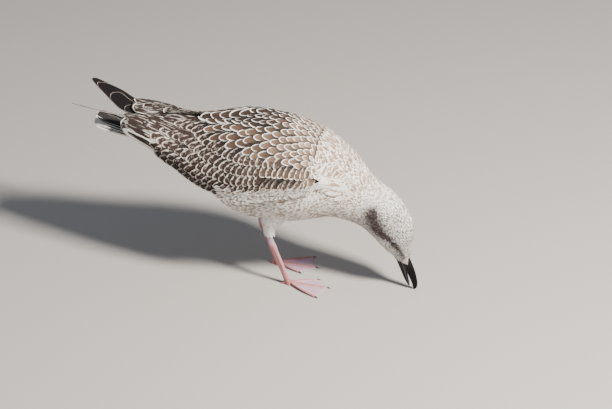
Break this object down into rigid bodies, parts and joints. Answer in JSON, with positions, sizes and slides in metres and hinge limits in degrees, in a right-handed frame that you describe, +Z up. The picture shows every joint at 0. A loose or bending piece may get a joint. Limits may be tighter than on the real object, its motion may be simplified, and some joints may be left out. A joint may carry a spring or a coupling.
{
  "type": "young herring gull",
  "caption": "Life-size young gull with brown scalloped plumage, standing on webbed feet and bending down to peck at the ground.",
  "frame": {"origin": "on the floor, under the centre of the bounding box", "axes": "+X towards the bill, +Y towards the bird's left, +Z up"},
  "size_m": [0.4846, 0.1582, 0.2562],
  "materials": {
    "head_feather": "short dense feathers, near white with fine grey-brown streaks",
    "body_feather": "soft body feathers, pale with brown centres",
    "rump_feather": "loose feathers, whitish with brown bars",
    "wing_feather": "brown feathers with cream fringes",
    "flight_feather": "blackish flight feathers with a slight sheen",
    "tail_feather": "whitish tail feathers with a blackish band",
    "bill_horn": "smooth blackish horn",
    "leg_skin": "scaled pink skin",
    "eye": "dark wet gloss"
  },
  "bodies": {
    "root": {"head": "head_feather", "neck": "head_feather", "trunk": "body_feather", "rump": "rump_feather", "tail": "tail_feather", "wing_right": "wing_feather", "wing_left": "wing_feather", "tertials_right": "wing_feather", "tertials_left": "wing_feather", "wing_tip_right": "flight_feather", "wing_tip_left": "flight_feather", "thigh_right": "body_feather", "thigh_left": "body_feather", "shank_right": "leg_skin", "shank_left": "leg_skin", "foot_right": "leg_skin", "foot_left": "leg_skin", "eye_right": "eye", "eye_left": "eye", "bill_upper": "bill_horn", "bill_lower": "bill_horn"}
  },
  "joints": []
}
